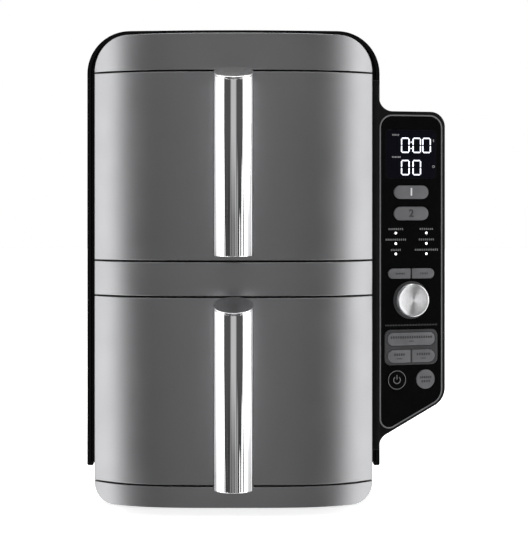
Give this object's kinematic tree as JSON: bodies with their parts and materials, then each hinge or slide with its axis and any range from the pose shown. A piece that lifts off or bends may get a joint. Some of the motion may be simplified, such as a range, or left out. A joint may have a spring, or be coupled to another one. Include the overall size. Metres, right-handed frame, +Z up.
{
  "type": "air fryer",
  "caption": "Tall air fryer with stacked slide-out drawers, round upright bar handles and a slanted side pod that holds the display, knob and buttons.",
  "frame": {"origin": "middle of the footprint of the whole appliance, on the surface that its feet stand on", "axes": "+Z up, -Y out of the drawer fronts, +X towards the control pod"},
  "size_m": [0.2897, 0.47, 0.3856],
  "materials": {
    "black_plastic": "fine moulded texture, satin black",
    "grey_paint": "dark grey metallic paint, satin",
    "chrome": "polished",
    "satin_metal": "spun or brushed satin",
    "non_stick": "dark non-stick coating",
    "sheet_steel": "mill finish",
    "heater_steel": "dull",
    "foot_rubber": "matte",
    "circuit_board": "green solder mask",
    "panel_gloss": "gloss black",
    "smoked_window": "smoked, clear gloss",
    "pad_grey": "satin dark grey",
    "button_grey": "satin mid grey"
  },
  "bodies": {
    "casing": {"base_pan": "black_plastic", "bottom_trim": "grey_paint", "button_pad": "pad_grey", "control_board": "circuit_board", "cord_gland": "foot_rubber", "display_module": "black_plastic", "display_window": "smoked_window", "encoder": "heater_steel", "foot_front_left": "foot_rubber", "foot_front_right": "foot_rubber", "foot_rear_left": "foot_rubber", "foot_rear_right": "foot_rubber", "front_frame": "black_plastic", "housing_shell": "black_plastic", "lower_chamber": "sheet_steel", "lower_fan_guard": "sheet_steel", "lower_heater": "heater_steel", "lower_motor": "heater_steel", "lower_motor_bracket": "sheet_steel", "middle_trim": "grey_paint", "panel_plate": "panel_gloss", "pod_housing": "black_plastic", "power_board": "circuit_board", "rear_cover": "black_plastic", "top_trim": "grey_paint", "upper_chamber": "sheet_steel", "upper_fan_guard": "sheet_steel", "upper_heater": "heater_steel", "upper_motor": "heater_steel", "upper_motor_bracket": "sheet_steel"},
    "upper_drawer": {"upper_drawer_skin": "grey_paint", "upper_drawer_back": "black_plastic", "upper_basket": "non_stick", "upper_handle": "chrome", "upper_handle_cap": "satin_metal", "upper_handle_bracket": "satin_metal"},
    "upper_crisper": {"upper_crisper_plate": "non_stick"},
    "upper_fan": {"upper_fan_shaft": "heater_steel", "upper_hot_fan": "sheet_steel", "upper_cooling_fan": "sheet_steel"},
    "lower_drawer": {"lower_drawer_skin": "grey_paint", "lower_drawer_back": "black_plastic", "lower_basket": "non_stick", "lower_handle": "chrome", "lower_handle_cap": "satin_metal", "lower_handle_bracket": "satin_metal"},
    "lower_crisper": {"lower_crisper_plate": "non_stick"},
    "lower_fan": {"lower_fan_shaft": "heater_steel", "lower_hot_fan": "sheet_steel", "lower_cooling_fan": "sheet_steel"},
    "knob": {"knob": "satin_metal"},
    "zone_1": {"button_zone_1": "button_grey"},
    "zone_2": {"button_zone_2": "button_grey"},
    "temp": {"button_temp": "button_grey"},
    "time": {"button_time": "button_grey"},
    "both_drawers": {"button_both_drawers": "button_grey"},
    "sync": {"button_sync": "button_grey"},
    "match": {"button_match": "button_grey"},
    "power": {"button_power": "panel_gloss"},
    "start_stop": {"button_start_stop": "button_grey"}
  },
  "joints": [
    {"name": "upper_drawer_slide", "type": "slide", "parent": "casing", "child": "upper_drawer", "axis": [0, -1, 0], "range_m": [0, 0.25]},
    {"name": "upper_crisper_lift", "type": "slide", "parent": "upper_drawer", "child": "upper_crisper", "axis": [0, 0, 1], "range_m": [0, 0.1]},
    {"name": "upper_fan_spin", "type": "hinge", "parent": "casing", "child": "upper_fan", "pos_m": [-0.02675, 0.171, 0.27685], "axis": [0, 1, 0], "continuous": true},
    {"name": "lower_drawer_slide", "type": "slide", "parent": "casing", "child": "lower_drawer", "axis": [0, -1, 0], "range_m": [0, 0.25]},
    {"name": "lower_crisper_lift", "type": "slide", "parent": "lower_drawer", "child": "lower_crisper", "axis": [0, 0, 1], "range_m": [0, 0.1]},
    {"name": "lower_fan_spin", "type": "hinge", "parent": "casing", "child": "lower_fan", "pos_m": [-0.02675, 0.171, 0.10075], "axis": [0, 1, 0], "continuous": true},
    {"name": "knob_turn", "type": "hinge", "parent": "casing", "child": "knob", "pos_m": [0.11665, -0.15262, 0.168], "axis": [0.2419, -0.9703, 0], "continuous": true},
    {"name": "zone_1_press", "type": "slide", "parent": "casing", "child": "zone_1", "axis": [-0.2419, 0.9703, 0], "range_m": [0, 0.0007], "stiffness_N_per_m": 400},
    {"name": "zone_2_press", "type": "slide", "parent": "casing", "child": "zone_2", "axis": [-0.2419, 0.9703, 0], "range_m": [0, 0.0007], "stiffness_N_per_m": 400},
    {"name": "temp_press", "type": "slide", "parent": "casing", "child": "temp", "axis": [-0.2419, 0.9703, 0], "range_m": [0, 0.0007], "stiffness_N_per_m": 400},
    {"name": "time_press", "type": "slide", "parent": "casing", "child": "time", "axis": [-0.2419, 0.9703, 0], "range_m": [0, 0.0007], "stiffness_N_per_m": 400},
    {"name": "both_drawers_press", "type": "slide", "parent": "casing", "child": "both_drawers", "axis": [-0.2419, 0.9703, 0], "range_m": [0, 0.0007], "stiffness_N_per_m": 400},
    {"name": "sync_press", "type": "slide", "parent": "casing", "child": "sync", "axis": [-0.2419, 0.9703, 0], "range_m": [0, 0.0007], "stiffness_N_per_m": 400},
    {"name": "match_press", "type": "slide", "parent": "casing", "child": "match", "axis": [-0.2419, 0.9703, 0], "range_m": [0, 0.0007], "stiffness_N_per_m": 400},
    {"name": "power_press", "type": "slide", "parent": "casing", "child": "power", "axis": [-0.2419, 0.9703, 0], "range_m": [0, 0.0007], "stiffness_N_per_m": 400},
    {"name": "start_stop_press", "type": "slide", "parent": "casing", "child": "start_stop", "axis": [-0.2419, 0.9703, 0], "range_m": [0, 0.0007], "stiffness_N_per_m": 400}
  ]
}
